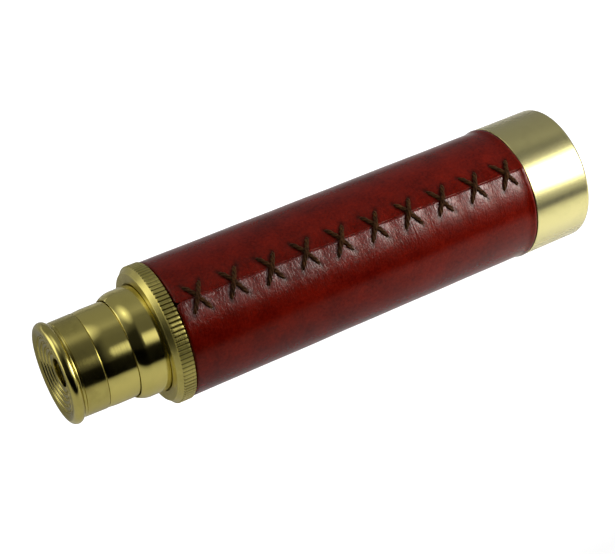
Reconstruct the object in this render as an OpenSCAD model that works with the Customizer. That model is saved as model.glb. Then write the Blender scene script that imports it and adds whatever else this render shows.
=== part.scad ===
// Hand kaleidoscope: a leather-bound barrel, three draws that slide out of each other
// and an object cell that turns on the far end. All sizes are in millimetres.
// Every piece is drawn round the sight axis, which is local Z. Stations along it count
// from the eye end of the barrel tube and grow toward the object cell.
// Local +X is up and local +Y is the front, so an angle of 0 is the top of the barrel.

/* [Barrel] */
// Outside diameter of the bare barrel tube
barrel_od = 40.8; // [40:0.2:46]
// Wall of the barrel tube
barrel_wall = 1; // [0.6:0.1:1.4]
// Length of bare tube past the leather, which the object cell turns on
nose_len = 6; // [5:0.5:10]

/* [Leather] */
// Length of the leather sleeve along the barrel
sleeve_len = 124.6; // [110:0.2:160]
// Thickness of the leather
leather_t = 1.6; // [1.2:0.1:2.4]
// How far the leather flares out at the object end
hem_rise = 0.6; // [0.2:0.1:1]
// Length of the flare
hem_len = 1.6; // [1:0.1:3]
// Width of the flat outer edge of the flare
hem_land = 0.4; // [0.2:0.1:0.8]
// Open gap between the knurled ring and the leather
ring_gap = 0.5; // [0.2:0.1:1]
// Angle of the seam from the top toward the front, at mid length
seam_angle = 29.5; // [0:0.5:60]
// Turn of the seam from one end of the sleeve to the other
seam_skew = 3; // [0:1:12]
// Open width between the two leather edges
seam_gap = 0.4; // [0.2:0.1:1]

/* [Stitches] */
// Number of cross stitches
stitch_count = 10; // [4:1:10]
// Distance between the middles of two stitches
stitch_pitch = 12.3; // [9:0.1:13]
// Width of a cross stitch along the seam
stitch_w = 6.2; // [4:0.1:7]
// Length of a cross stitch across the seam, along the leather
stitch_h = 9.8; // [6:0.1:12]
// Thickness of the waxed thread
thread_d = 1.5; // [0.8:0.1:1.8]
// Room round the thread in its holes
thread_clear = 0.1; // [0.05:0.05:0.2]
// Height of the upper strand over the lower one
thread_lift = 0.25; // [0.15:0.05:0.5]

/* [Knurled ring] */
// Length of the ring's flange
ring_len = 5.6; // [4.6:0.1:8]
// Length of the knurled band on the flange
knurl_len = 3.9; // [3:0.1:4]
// Height of the knurl's tips over the leather
knurl_rise = 0.4; // [0.2:0.1:0.8]
// Depth of the knurl
knurl_depth = 0.4; // [0.2:0.1:0.6]
// Number of knurl teeth
knurl_teeth = 96; // [60:4:120]
// Width of the bevel on the ring's front edge
ring_bevel = 1.25; // [0.5:0.05:2]
// Length of the ring's spigot inside the barrel
ring_spigot = 12; // [8:0.5:20]

/* [Draws] */
// Room between the barrel's bore and the first draw's tube
draw_1_room = 2.9; // [2.4:0.1:3.6]
// Room between the first draw's bore and the second draw's tube
draw_2_room = 1.1; // [0.9:0.1:1.5]
// Room between the second draw's bore and the third draw's tube
draw_3_room = 1; // [0.8:0.1:1.4]
// Wall of the draw tubes
draw_wall = 0.75; // [0.5:0.05:1]
// Length of the guide ring on the inner end of each draw
guide_len = 16; // [8:0.5:24]
// Radial running clearance of a sliding or turning fit
slide_clear = 0.1; // [0.05:0.01:0.1]
// Length of the felt in each collar
felt_len = 5; // [3:0.5:7]
// Depth of the felt's groove
felt_t = 0.5; // [0.3:0.05:0.6]

/* [Collars] */
// Exposed length of the first draw's collar
collar_1_len = 9.4; // [7:0.1:14]
// Exposed length of the second draw's collar
collar_2_len = 9.7; // [7:0.1:14]
// Height of the first collar over its tube
collar_1_rise = 0.65; // [0.5:0.05:1.2]
// Height of the second collar over its tube
collar_2_rise = 0.75; // [0.5:0.05:1.2]
// Length of the rounded front lip of the first collar
lip_1_len = 4; // [2:0.1:5]
// Width of the flat land between the first collar's lip and the seat in it
lip_1_land = 0.15; // [0.05:0.05:0.3]
// Length of the rounded front lip of the second collar
lip_2_len = 4; // [0.5:0.1:5]
// How far the second collar's lip draws in at its front
lip_2_drop = 0.3; // [0.1:0.05:0.4]
// Depth of the seat that the next collar closes into
seat_depth = 1; // [0.6:0.1:1.5]
// Open gap round a collar in its seat
seat_gap = 0.4; // [0.2:0.05:0.5]
// Solid length between a collar's seat and its tube
web_len = 2.4; // [1.6:0.1:4]
// Length of a collar's spigot inside its tube
collar_spigot = 18; // [12:0.5:24]

/* [Eyepiece] */
// Length of the eyepiece
eyepiece_len = 11.7; // [11:0.1:16]
// Height of the eyepiece over its draw tube
eyepiece_rise = 2.3; // [1.5:0.1:3]
// Radius of the bead round the rim
bead_r = 1.8; // [1:0.1:2]
// Height of the bead over the eyepiece
bead_rise = 1; // [0.5:0.1:1.4]
// Radius of the cove cut behind the bead
cove_r = 0.55; // [0.3:0.05:0.7]
// Diameter of the eye hole
eye_hole_d = 9.2; // [5:0.2:12]
// Depth of the dished face at the eye hole
dish_depth = 2.2; // [1.5:0.1:3.2]
// Depth of the dished face at the bead
dish_rim = 0.8; // [0.4:0.1:1.2]
// Number of turned grooves in the dished face
groove_count = 7; // [3:1:8]
// Radius of a turned groove
groove_r = 0.35; // [0.2:0.05:0.4]
// Thickness of metal behind the dish at the eye hole
eye_web = 2.1; // [1:0.1:2.6]
// Depth of the socket for the draw tube
socket_len = 4; // [3:0.1:4.2]

/* [Lens] */
// Radius of the lens
lens_r = 10; // [8:0.1:10.5]
// Edge thickness of the lens
lens_edge = 1.2; // [0.8:0.1:1.4]
// Radius of the lens's curved face
lens_curve = 62; // [50:1:120]
// Width of the flat land that the lens ring presses on
lens_land = 1.6; // [1:0.1:2.2]
// Thickness of the lens ring
lens_ring_t = 1.4; // [1:0.1:1.5]

/* [Mirrors] */
// Thickness of the mirror glass
mirror_t = 1.5; // [1:0.1:2]
// Room between the mirrors' outer corners and the draw's bore
mirror_room = 0.6; // [0.55:0.05:1]
// Thickness of the card round the mirrors
wrap_t = 0.25; // [0.15:0.05:0.3]
// Room between the mirrors and what holds them
mirror_clear = 0.1; // [0.05:0.01:0.12]
// Thickness of the cork behind a mirror's end
cork_floor = 1.5; // [1:0.1:3]
// Depth of the pocket that takes the mirrors' ends
cork_pocket = 2.5; // [1.5:0.1:5]
// How far the cork seats lie inside the ends of the draw tube
cork_inset = 2; // [0.5:0.1:6]
// How far the cork reaches in front of the mirror glass
cork_lip = 0.4; // [0.2:0.05:0.8]

/* [Object cell] */
// Length of the cell's shell
cell_len = 21.3; // [19.5:0.1:30]
// Height of the shell over the leather
cell_rise = 0.4; // [0.2:0.1:1]
// Radius of the shell's far edge
cell_round = 1.2; // [0.5:0.1:1.2]
// Thickness of the shell's end
cell_end_t = 1.2; // [1.2:0.1:2]
// Open gap between the leather and the shell
cell_gap = 0.4; // [0.3:0.1:1]
// Width of the land that each disc rests on
disc_land = 1.8; // [1.2:0.1:2.4]
// Thickness of the clear disc
clear_t = 1.5; // [1:0.1:2]
// Thickness of the frosted disc
frosted_t = 1.6; // [1:0.1:2]
// Thickness of the ring that locks the stack
lock_t = 1.6; // [1.2:0.1:2]
// Radius of a glass chip
chip_r = 2.3; // [1.5:0.1:2.5]

/* [Cell bearing] */
// Length of the bush inside the barrel
bush_spigot = 5; // [4:0.5:8]
// Length of the bush outside the barrel
bush_len = 3.6; // [3.4:0.1:5]
// Radial thickness of the bush inside the barrel
bush_wall = 1.2; // [1.2:0.1:2]
// Width of the snap ring's square wire
snap_w = 1.1; // [0.8:0.1:1.2]
// Radial height of the snap ring standing out of the bush
snap_out = 0.5; // [0.3:0.05:0.6]
// Opening of the snap ring, as an angle
snap_open = 24; // [10:1:60]
// Room round the snap ring in its grooves
snap_clear = 0.2; // [0.1:0.05:0.3]

/* [Fits] */
// Radial clearance of a pressed, screwed or glued fit
fit_clear = 0.05; // [0.02:0.01:0.08]
// Axial room at a stop or beside a turning face
stop_clear = 0.4; // [0.3:0.1:1]

/* [Hidden] */
$fn = 96;
// Facets of a large shallow arc
arc_fn = 720;

// Radii, from the barrel inward
barrel_r = barrel_od / 2;
barrel_bore = barrel_r - barrel_wall;
sleeve_r = barrel_r + leather_t;
hem_r = sleeve_r + hem_rise;
draw_1_r = barrel_bore - draw_1_room;
draw_1_bore = draw_1_r - draw_wall;
draw_2_r = draw_1_bore - draw_2_room;
draw_2_bore = draw_2_r - draw_wall;
draw_3_r = draw_2_bore - draw_3_room;
draw_3_bore = draw_3_r - draw_wall;
collar_1_r = draw_1_r + collar_1_rise;
collar_2_r = draw_2_r + collar_2_rise;
lip_1_drop = collar_1_r - collar_2_r - seat_gap - lip_1_land;
eyepiece_r = draw_3_r + eyepiece_rise;
knurl_r = sleeve_r + knurl_rise;
ring_r = knurl_r - knurl_depth;

// Stations, from the barrel tube's eye end
sleeve_start = ring_gap;
sleeve_end = sleeve_start + sleeve_len;
sleeve_mid = (sleeve_start + sleeve_end) / 2;
cell_start = sleeve_end + cell_gap;
cell_end = cell_start + cell_len;
barrel_len = cell_start + nose_len;
bush_end = barrel_len + bush_len;
draw_end = barrel_len - bush_spigot - stop_clear;
guide_start = draw_end - guide_len;
ring_front = -ring_len;
collar_1_rear = ring_front + seat_depth;
collar_1_front = ring_front - collar_1_len;
collar_2_rear = collar_1_front + seat_depth;
collar_2_front = collar_1_front - collar_2_len;
draw_1_start = collar_2_rear + web_len;
draw_2_start = collar_2_front + web_len;
eyepiece_rear = collar_2_front;
eyepiece_front = eyepiece_rear - eyepiece_len;
draw_3_start = eyepiece_rear - socket_len;

// Stitches
thread_r = thread_d / 2;
strand_r = sleeve_r + thread_r + thread_clear;
strand_turn = stitch_h / 2 / sleeve_r * 180 / PI;
strand_side = strand_r * sin(strand_turn);
strand_along = stitch_w / 2;
strand_slant = atan2(strand_along, strand_side);
strand_reach = norm([strand_side, strand_along]);
strand_bend = strand_r / pow(cos(strand_slant), 2);
strand_arc = asin(strand_reach / strand_bend);

// Eyepiece and lens
eye_hole_r = eye_hole_d / 2;
bead_mid_r = eyepiece_r + bead_rise - bead_r;
bead_mid = eyepiece_front + bead_r;
dish_r = bead_mid_r - bead_r * 0.8;
dish_floor = eyepiece_front + dish_depth;
lens_seat = dish_floor + eye_web;
lens_pocket_r = lens_r + fit_clear;
lens_clear_r = lens_r - lens_land;
lens_back = lens_seat + lens_edge;

// Mirror prism: the largest equal-sided one whose glass clears the draw's bore
prism_corner_r = draw_3_bore - mirror_room;
prism_half = sqrt(3) / 4 * (sqrt(4 * pow(prism_corner_r, 2) - 3 * pow(mirror_t, 2)) - mirror_t);
prism_in_r = prism_half / sqrt(3);
front_cork = draw_3_start + cork_inset;
rear_cork = draw_end - cork_inset;
mirror_start = front_cork + cork_floor;
mirror_end = rear_cork - cork_floor;

// Object cell
cell_r = sleeve_r + cell_rise;
cell_bore = barrel_r + slide_clear;
disc_r = cell_bore - fit_clear;
sight_r = cell_bore - disc_land;
lock_start = bush_end + stop_clear;
clear_start = lock_start + lock_t;
chamber_start = clear_start + clear_t;
frosted_start = cell_end - cell_end_t - frosted_t;
chamber_len = frosted_start - chamber_start;
snap_mid = barrel_len + bush_len / 2;
snap_r = barrel_r + snap_out;

// Glass chips lie in two layers at the bottom of the chamber
chip_clear = 0.2;
chip_t = (chamber_len - 3 * chip_clear) / 2;
chip_step = 2 * chip_r + chip_clear;
chip_rows = [6, 4, 1];
chip_colours = 4;

// The part lies on its largest ring, with the middle of its length over the origin
rest_r = max(hem_r, cell_r, knurl_r);
mid_station = (eyepiece_front + cell_end) / 2;

// Lays the sight axis along X, with local X up and local Y toward the front
module lay() {
    translate([-mid_station, 0, rest_r])
        rotate(a = 180, v = [1, 0, 1])
            children();
}

// Half section of a ring between two radii and two stations
module band(r_in, r_out, from, to) {
    translate([r_in, from])
        square([r_out - r_in, to - from]);
}

module round_ring(r_in, r_out, from, to) {
    rotate_extrude()
        band(r_in, r_out, from, to);
}

// Groove that a felt lies in, open to the bore
module felt_groove(bore, from) {
    band(bore - felt_t, bore + felt_t, from, from + felt_len);
}

module felt(bore, from) {
    round_ring(bore, bore + felt_t - fit_clear, from + fit_clear, from + felt_len - fit_clear);
}

// Places children at each end of the two strands of a cross stitch at the top of the sleeve
module at_strand_ends() {
    for (side = [-1, 1], along = [-1, 1])
        translate([0, 0, along * strand_along])
            rotate([0, 0, side * strand_turn])
                children();
}

// Places children at each stitch along the skewed seam
module at_stitches() {
    for (i = [0 : stitch_count - 1]) {
        offset_from_mid = (i - (stitch_count - 1) / 2) * stitch_pitch;
        translate([0, 0, sleeve_mid + offset_from_mid])
            rotate([0, 0, seam_angle + seam_skew * offset_from_mid / sleeve_len])
                children();
    }
}

module barrel_tube() {
    color("goldenrod")
        lay()
            round_ring(barrel_bore, barrel_r, 0, barrel_len);
}

// The seam's slot is tilted so that it follows the skew along the sleeve
module seam_slot() {
    tilt = atan(seam_skew * PI / 180 * sleeve_r / sleeve_len);
    slot_depth = 4 * leather_t;
    translate([0, 0, sleeve_mid])
        rotate([0, 0, seam_angle])
            translate([sleeve_r, 0, 0])
                rotate([-tilt, 0, 0])
                    cube([slot_depth, seam_gap, 2 * sleeve_len], center = true);
}

module leather_sleeve() {
    hole_r = thread_r + thread_clear;
    color("maroon")
        lay()
            difference() {
                rotate_extrude()
                    polygon([
                        [barrel_r + fit_clear, sleeve_start], [sleeve_r, sleeve_start],
                        [sleeve_r, sleeve_end - hem_len], [hem_r, sleeve_end - hem_land],
                        [hem_r, sleeve_end], [barrel_r + fit_clear, sleeve_end]
                    ]);
                seam_slot();
                at_stitches()
                    at_strand_ends()
                        translate([barrel_r - leather_t, 0, 0])
                            rotate([0, 90, 0])
                                cylinder(r = hole_r, h = 3 * leather_t);
            }
}

// One strand lies along the curve that the sleeve has in its own direction
module strand(slant, lift) {
    translate([strand_r - strand_bend + lift, 0, 0])
        rotate([slant, 0, 0])
            rotate([0, 0, -strand_arc])
                rotate_extrude(angle = 2 * strand_arc)
                    translate([strand_bend, 0])
                        circle(r = thread_r);
}

// Two strands cross over the seam; each end bulges where it turns down into its hole
module cross_stitch() {
    leg_foot = barrel_r + 2 * fit_clear;
    strand(strand_slant, 0);
    strand(-strand_slant, thread_lift);
    at_strand_ends() {
        translate([leg_foot, 0, 0])
            rotate([0, 90, 0])
                cylinder(r = thread_r - thread_clear, h = strand_r - leg_foot);
        translate([strand_r, 0, 0])
            sphere(r = thread_r + thread_clear / 2);
    }
}

module seam_stitches() {
    color("saddlebrown")
        lay()
            at_stitches()
                cross_stitch();
}

module knurl_outline() {
    turn = 180 / knurl_teeth;
    polygon([
        for (i = [0 : 2 * knurl_teeth - 1])
            let (r = i % 2 == 0 ? ring_r : knurl_r)
                [r * cos(i * turn), r * sin(i * turn)]
    ]);
}

module knurled_ring() {
    bore = draw_1_r + slide_clear;
    spigot_r = barrel_bore - fit_clear;
    seat_r = collar_1_r + seat_gap;
    core_r = ring_r - knurl_depth / 2;
    color("goldenrod")
        lay()
            difference() {
                union() {
                    rotate_extrude()
                        polygon([
                            [bore, ring_front], [ring_r - ring_bevel, ring_front], [core_r, -knurl_len],
                            [core_r, 0], [spigot_r, 0], [spigot_r, ring_spigot], [bore, ring_spigot]
                        ]);
                    translate([0, 0, -knurl_len])
                        linear_extrude(height = knurl_len)
                            difference() {
                                knurl_outline();
                                circle(r = spigot_r);
                            }
                }
                round_ring(0, seat_r, ring_front - seat_depth, collar_1_rear);
                rotate_extrude()
                    felt_groove(bore, collar_1_rear + web_len);
            }
}

module ring_felt() {
    color("darkgreen")
        lay()
            felt(draw_1_r + slide_clear, collar_1_rear + web_len);
}

module cell_bush() {
    bush_bore = barrel_bore - fit_clear - bush_wall;
    color("goldenrod")
        lay()
            rotate_extrude()
                difference() {
                    union() {
                        band(bush_bore, barrel_bore - fit_clear, barrel_len - bush_spigot, barrel_len);
                        band(bush_bore, barrel_r, barrel_len, bush_end);
                    }
                    band(snap_r - snap_w - snap_clear, cell_r,
                         snap_mid - snap_w / 2 - snap_clear, snap_mid + snap_w / 2 + snap_clear);
                }
}

module snap_ring() {
    color("silver")
        lay()
            rotate([0, 0, snap_open / 2])
                rotate_extrude(angle = 360 - snap_open)
                    band(snap_r - snap_w, snap_r, snap_mid - snap_w / 2, snap_mid + snap_w / 2);
}

// Tube of a draw
module draw_tube(bore, r, from) {
    color("darkgoldenrod")
        lay()
            round_ring(bore, r, from, draw_end);
}

// Ring soldered on the inner end of a draw, which guides it and stops it coming out
module draw_guide(tube_r, outer_bore) {
    color("goldenrod")
        lay()
            round_ring(tube_r + fit_clear, outer_bore - slide_clear, guide_start, draw_end);
}

// Collar on the eye end of a draw: a rounded lip, a step for its tube and a long spigot with the
// felt for the next draw
module draw_collar(r, rear, front, lip_len, lip_drop, tube_r, tube_bore, tube_start, bore) {
    lip_r = (pow(lip_len, 2) + pow(lip_drop, 2)) / (2 * lip_drop);
    rotate_extrude()
        difference() {
            union() {
                band(bore, r, front + lip_len, rear);
                intersection() {
                    band(bore, r + lip_drop, front, front + lip_len);
                    translate([r - lip_r, front + lip_len])
                        circle(r = lip_r, $fn = arc_fn);
                }
                band(bore, tube_bore - fit_clear, rear, tube_start + collar_spigot);
            }
            band(tube_bore - fit_clear, tube_r + fit_clear, tube_start, rear + seat_depth);
            felt_groove(bore, tube_start);
        }
}

module draw_1_tube() {
    draw_tube(draw_1_bore, draw_1_r, draw_1_start);
}

module draw_1_collar() {
    color("goldenrod")
        lay()
            difference() {
                draw_collar(collar_1_r, collar_1_rear, collar_1_front, lip_1_len, lip_1_drop,
                            draw_1_r, draw_1_bore, draw_1_start, draw_2_r + slide_clear);
                round_ring(0, collar_2_r + seat_gap, collar_1_front - seat_depth, collar_2_rear);
            }
}

module draw_1_felt() {
    color("darkgreen")
        lay()
            felt(draw_2_r + slide_clear, draw_1_start);
}

module draw_1_guide() {
    draw_guide(draw_1_r, barrel_bore);
}

module draw_2_tube() {
    draw_tube(draw_2_bore, draw_2_r, draw_2_start);
}

module draw_2_collar() {
    color("goldenrod")
        lay()
            draw_collar(collar_2_r, collar_2_rear, collar_2_front, lip_2_len, lip_2_drop,
                        draw_2_r, draw_2_bore, draw_2_start, draw_3_r + slide_clear);
}

module draw_2_felt() {
    color("darkgreen")
        lay()
            felt(draw_3_r + slide_clear, draw_2_start);
}

module draw_2_guide() {
    draw_guide(draw_2_r, draw_1_bore);
}

module draw_3_tube() {
    draw_tube(draw_3_bore, draw_3_r, draw_3_start);
}

module draw_3_guide() {
    draw_guide(draw_3_r, draw_2_bore);
}

// Turned cup with a beaded rim, a dished and grooved face, a lens pocket and a tube socket
module eyepiece() {
    color("goldenrod")
        lay()
            rotate_extrude()
                difference() {
                    union() {
                        polygon([
                            [eye_hole_r, dish_floor], [dish_r, eyepiece_front + dish_rim],
                            [bead_mid_r, bead_mid], [eyepiece_r, bead_mid],
                            [eyepiece_r, eyepiece_rear], [eye_hole_r, eyepiece_rear]
                        ]);
                        translate([bead_mid_r, bead_mid])
                            circle(r = bead_r);
                    }
                    translate([eyepiece_r + cove_r / 4, bead_mid + bead_r + cove_r])
                        circle(r = cove_r);
                    for (i = [1 : groove_count]) {
                        share = i / (groove_count + 1);
                        translate([eye_hole_r + (dish_r - eye_hole_r) * share,
                                   dish_floor + (eyepiece_front + dish_rim - dish_floor) * share])
                            circle(r = groove_r);
                    }
                    band(0, lens_pocket_r, lens_seat, eyepiece_rear + 1);
                    band(0, draw_3_r + fit_clear, draw_3_start, eyepiece_rear + 1);
                }
}

// Flat toward the eye, curved toward the mirrors inside a flat land
module eye_lens() {
    curve_mid = lens_back - sqrt(pow(lens_curve, 2) - pow(lens_clear_r, 2));
    color("lightcyan", 0.5)
        lay()
            rotate_extrude() {
                band(0, lens_r, lens_seat, lens_back);
                intersection() {
                    band(0, lens_clear_r, lens_seat, lens_curve);
                    translate([0, curve_mid])
                        circle(r = lens_curve, $fn = arc_fn);
                }
            }
}

module lens_ring() {
    color("darkgoldenrod")
        lay()
            round_ring(lens_clear_r + fit_clear, lens_r, lens_back, lens_back + lens_ring_t);
}

// Outline round the backs of the three mirrors, grown by a clearance
module prism_outline(grow) {
    back = prism_in_r + mirror_t + grow;
    half = prism_half + grow * tan(30);
    polygon([
        for (k = [0 : 2], side = [-1, 1])
            let (a = 120 * k)
                [back * cos(a) - side * half * sin(a), back * sin(a) + side * half * cos(a)]
    ]);
}

module mirror_strip(turn) {
    color("lightsteelblue")
        lay()
            rotate([0, 0, turn])
                translate([prism_in_r, mirror_clear - prism_half, mirror_start])
                    cube([mirror_t, 2 * (prism_half - mirror_clear), mirror_end - mirror_start]);
}

module mirror_top() {
    mirror_strip(0);
}

module mirror_left() {
    mirror_strip(120);
}

module mirror_right() {
    mirror_strip(240);
}

module mirror_wrap() {
    from = mirror_start + cork_pocket + mirror_clear;
    to = mirror_end - cork_pocket - mirror_clear;
    color("dimgray")
        lay()
            translate([0, 0, from])
                linear_extrude(height = to - from)
                    difference() {
                        prism_outline(mirror_clear + wrap_t);
                        prism_outline(mirror_clear);
                    }
}

// Cork disc with a triangular sight hole and a pocket for the mirrors' ends on its far side
module cork_seat() {
    cork_r = draw_3_bore - fit_clear;
    corner = 2 * (prism_in_r - cork_lip);
    difference() {
        cylinder(r = cork_r, h = cork_floor + cork_pocket);
        translate([0, 0, cork_floor])
            linear_extrude(height = 2 * cork_pocket)
                prism_outline(mirror_clear);
        translate([0, 0, -cork_floor])
            linear_extrude(height = 3 * cork_floor)
                polygon([for (k = [0 : 2]) [corner * cos(60 + 120 * k), corner * sin(60 + 120 * k)]]);
    }
}

module mirror_front_seat() {
    color("peru")
        lay()
            translate([0, 0, front_cork])
                cork_seat();
}

module mirror_rear_seat() {
    color("peru")
        lay()
            translate([0, 0, rear_cork])
                mirror([0, 0, 1])
                    cork_seat();
}

// Cap of the object cell: a groove for the snap ring and a rounded far edge
module cell_shell() {
    round_r = cell_r - cell_round;
    color("goldenrod")
        lay()
            rotate_extrude()
                difference() {
                    union() {
                        band(sight_r, cell_r, cell_start, cell_end - cell_round);
                        band(sight_r, round_r, cell_start, cell_end);
                        translate([round_r, cell_end - cell_round])
                            circle(r = cell_round);
                    }
                    band(0, cell_bore, cell_start - 1, frosted_start + frosted_t);
                    band(0, snap_r + snap_clear + slide_clear,
                         snap_mid - snap_w / 2 - 2 * snap_clear, snap_mid + snap_w / 2 + 2 * snap_clear);
                }
}

module cell_lock_ring() {
    color("darkgoldenrod")
        lay()
            round_ring(sight_r, disc_r, lock_start, clear_start);
}

module inner_glass() {
    color("lightcyan", 0.5)
        lay()
            round_ring(0, disc_r, clear_start, chamber_start);
}

module chamber_ring() {
    color("gold")
        lay()
            round_ring(sight_r, disc_r, chamber_start, frosted_start);
}

module frosted_glass() {
    color("whitesmoke", 0.7)
        lay()
            round_ring(0, disc_r, frosted_start, frosted_start + frosted_t);
}

// Chips of one colour: every fourth place in the rows of both layers
module glass_chips(colour) {
    for (layer = [0, 1], row = [0 : len(chip_rows) - 1]) {
        row_r = sight_r - chip_r - chip_clear - row * chip_step;
        row_turn = 2 * asin(chip_step / 2 / row_r);
        from = layer == 0 ? frosted_start - chip_clear - chip_t : chamber_start + chip_clear;
        for (i = [0 : chip_rows[row] - 1])
            if ((i + row + 2 * layer) % chip_colours == colour)
                rotate([0, 0, 180 + (i - (chip_rows[row] - 1) / 2) * row_turn])
                    translate([row_r, 0, from])
                        rotate([0, 0, 37 * (i + 3 * row)])
                            cylinder(r = chip_r, h = chip_t, $fn = 5 + (i + layer) % 3);
    }
}

module chips_red() {
    color("crimson", 0.8)
        lay()
            glass_chips(0);
}

module chips_amber() {
    color("orange", 0.8)
        lay()
            glass_chips(1);
}

module chips_green() {
    color("seagreen", 0.8)
        lay()
            glass_chips(2);
}

module chips_blue() {
    color("royalblue", 0.8)
        lay()
            glass_chips(3);
}

barrel_tube();
leather_sleeve();
seam_stitches();
knurled_ring();
ring_felt();
cell_bush();
snap_ring();
draw_1_tube();
draw_1_collar();
draw_1_felt();
draw_1_guide();
draw_2_tube();
draw_2_collar();
draw_2_felt();
draw_2_guide();
draw_3_tube();
draw_3_guide();
eyepiece();
eye_lens();
lens_ring();
mirror_top();
mirror_left();
mirror_right();
mirror_wrap();
mirror_front_seat();
mirror_rear_seat();
cell_shell();
cell_lock_ring();
inner_glass();
chamber_ring();
frosted_glass();
chips_red();
chips_amber();
chips_green();
chips_blue();
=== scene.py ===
# Hand kaleidoscope: a leather-bound barrel, three brass draws and an object cell that turns
import bpy
import bmesh
import math
import random
from mathutils import Matrix, Vector, noise


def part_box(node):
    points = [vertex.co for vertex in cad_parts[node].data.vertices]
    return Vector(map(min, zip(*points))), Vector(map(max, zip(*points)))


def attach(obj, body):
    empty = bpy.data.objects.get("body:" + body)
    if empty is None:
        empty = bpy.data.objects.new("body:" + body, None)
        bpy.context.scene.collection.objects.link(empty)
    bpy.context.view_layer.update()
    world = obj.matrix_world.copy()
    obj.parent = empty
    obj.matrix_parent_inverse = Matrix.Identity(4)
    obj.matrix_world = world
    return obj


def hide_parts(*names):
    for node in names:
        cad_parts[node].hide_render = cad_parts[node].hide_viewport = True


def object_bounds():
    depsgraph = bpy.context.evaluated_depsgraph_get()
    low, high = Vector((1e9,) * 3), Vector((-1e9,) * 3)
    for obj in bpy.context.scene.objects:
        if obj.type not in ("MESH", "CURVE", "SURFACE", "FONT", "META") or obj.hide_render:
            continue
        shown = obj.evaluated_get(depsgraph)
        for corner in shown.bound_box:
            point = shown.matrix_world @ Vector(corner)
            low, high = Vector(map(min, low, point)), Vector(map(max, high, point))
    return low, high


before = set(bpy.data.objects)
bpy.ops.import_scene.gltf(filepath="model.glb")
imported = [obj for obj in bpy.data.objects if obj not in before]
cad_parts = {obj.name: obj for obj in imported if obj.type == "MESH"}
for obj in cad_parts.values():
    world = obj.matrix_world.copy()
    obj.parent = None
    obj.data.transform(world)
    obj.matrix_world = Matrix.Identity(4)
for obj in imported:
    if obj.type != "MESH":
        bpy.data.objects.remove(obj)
cadLow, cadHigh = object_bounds()
print("frame loaded with", len(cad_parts), "nodes")

mm = 0.001
barrelLow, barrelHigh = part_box("barrel_tube")
barrelRadius = (barrelHigh.z - barrelLow.z) / 2 / mm
sightHeight = (barrelLow.z + barrelHigh.z) / 2  # height of the sight axis over the floor
sightPoint = Vector((0, 0, sightHeight))


def stationToX(station):  # stations count in mm from the barrel's eye end
    return barrelLow.x + station * mm


def span(node):  # first station, last station and outer radius of a node, in mm
    low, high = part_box(node)
    return (low.x - barrelLow.x) / mm, (high.x - barrelLow.x) / mm, (high.z - low.z) / 2 / mm


def onBarrel(station, radius, angle):  # angle counts from the top toward the front
    return Vector((stationToX(station), -radius * mm * math.sin(angle), sightHeight + radius * mm * math.cos(angle)))


# Materials

def shade(hexText):  # sRGB hex to the linear colour that a socket takes
    parts = [int(hexText[i:i + 2], 16) / 255 for i in (1, 3, 5)]
    return tuple(p / 12.92 if p <= 0.04045 else ((p + 0.055) / 1.055) ** 2.4 for p in parts) + (1.0,)


def addNode(tree, kind, inputs=None, **settings):
    node = tree.nodes.new("ShaderNode" + kind)
    for key, value in settings.items():
        setattr(node, key, value)
    for key, value in (inputs or {}).items():
        if isinstance(value, bpy.types.NodeSocket):
            tree.links.new(value, node.inputs[key])
        else:
            node.inputs[key].default_value = value
    return node


def startMaterial(name):
    material = bpy.data.materials.new(name)
    material.use_nodes = True
    tree = material.node_tree
    tree.nodes.clear()
    surface = addNode(tree, "BsdfPrincipled")
    addNode(tree, "OutputMaterial", {"Surface": surface.outputs[0]})
    return material, tree, surface, addNode(tree, "TexCoord").outputs["Object"]


def perMm(size):  # texture scale that gives features about this many mm wide
    return 1 / (size * mm)


brass = {
    "colour": "#E1D379",     # yellow brass
    "lacquered": "#E2D78B",  # under clear lacquer
    "tarnish": "#A69A54",    # where hands have dulled it
    "grooveShade": "#2E270F",      # painted shade in the grooves of the knurl
    "linePitch": 0.3,        # mm, turning marks drawn coarser than the real 0.05 mm so that they show
    "smudge": 7.0,           # mm, width of the dull patches left by fingers
}
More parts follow.
